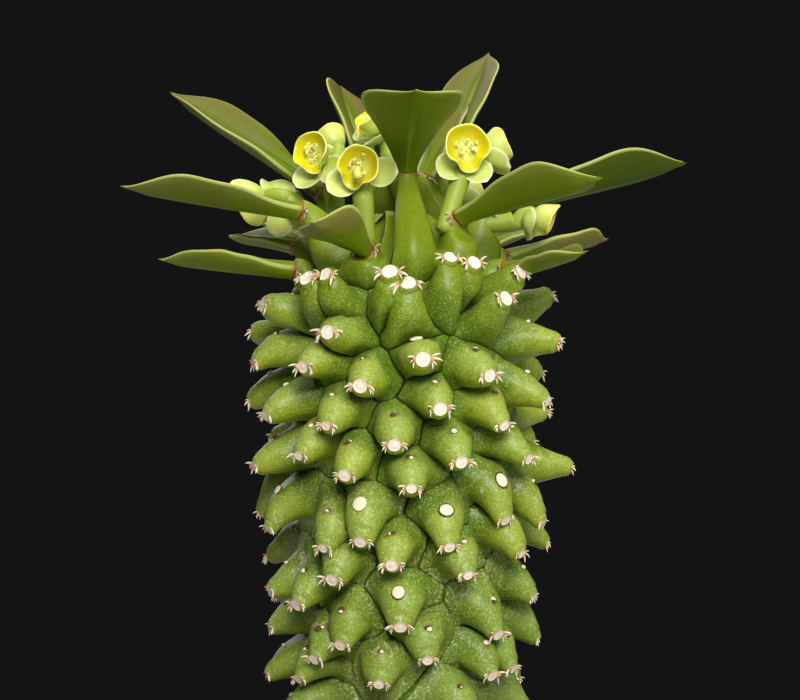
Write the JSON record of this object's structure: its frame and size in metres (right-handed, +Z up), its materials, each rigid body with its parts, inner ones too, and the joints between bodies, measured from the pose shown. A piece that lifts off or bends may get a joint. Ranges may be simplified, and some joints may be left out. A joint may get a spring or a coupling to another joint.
{
  "type": "potted succulent spurge",
  "caption": "Upright tuberculate succulent stem with small spines round its scars, a crown of fleshy leaves and yellow cup flowers, in gritty soil in a plain tapered clay pot.",
  "frame": {"origin": "middle of the pot's foot, on the surface it stands on", "axes": "+Z up along the stem, -Y towards the side that shows the flowers best, +X to the right of that side"},
  "size_m": [0.0999, 0.098, 0.22],
  "materials": {
    "clay": "matt unglazed",
    "soil": "gritty, dry",
    "stem_skin": "waxy living skin, fine grained",
    "leaf_skin": "fleshy leaf, satin",
    "bract_skin": "soft satin, slightly translucent",
    "cup_skin": "soft satin"
  },
  "bodies": {
    "root": {"pot": "clay", "soil": "soil", "stem": "stem_skin", "leaf_01": "leaf_skin", "leaf_02": "leaf_skin", "leaf_03": "leaf_skin", "leaf_04": "leaf_skin", "leaf_05": "leaf_skin", "leaf_06": "leaf_skin", "leaf_07": "leaf_skin", "leaf_08": "leaf_skin", "leaf_09": "leaf_skin", "leaf_10": "leaf_skin", "leaf_11": "leaf_skin", "leaf_12": "leaf_skin", "leaf_13": "leaf_skin", "leaf_14": "leaf_skin", "leaf_15": "leaf_skin", "leaf_16": "leaf_skin", "leaf_17": "leaf_skin", "leaf_18": "leaf_skin", "flower_head_1": "bract_skin", "flower_head_2": "bract_skin", "flower_head_3": "bract_skin", "flower_head_4": "bract_skin", "flower_head_5": "bract_skin", "flower_head_6": "bract_skin", "flower_head_7": "bract_skin", "flower_cup_1_1": "cup_skin", "flower_cup_2_1": "cup_skin", "flower_cup_2_2": "cup_skin", "flower_cup_3_1": "cup_skin", "flower_cup_4_1": "cup_skin", "flower_cup_4_2": "cup_skin", "flower_cup_5_1": "cup_skin", "flower_cup_5_2": "cup_skin", "flower_cup_6_1": "cup_skin", "flower_cup_7_1": "cup_skin", "flower_cup_7_2": "cup_skin"}
  },
  "joints": []
}
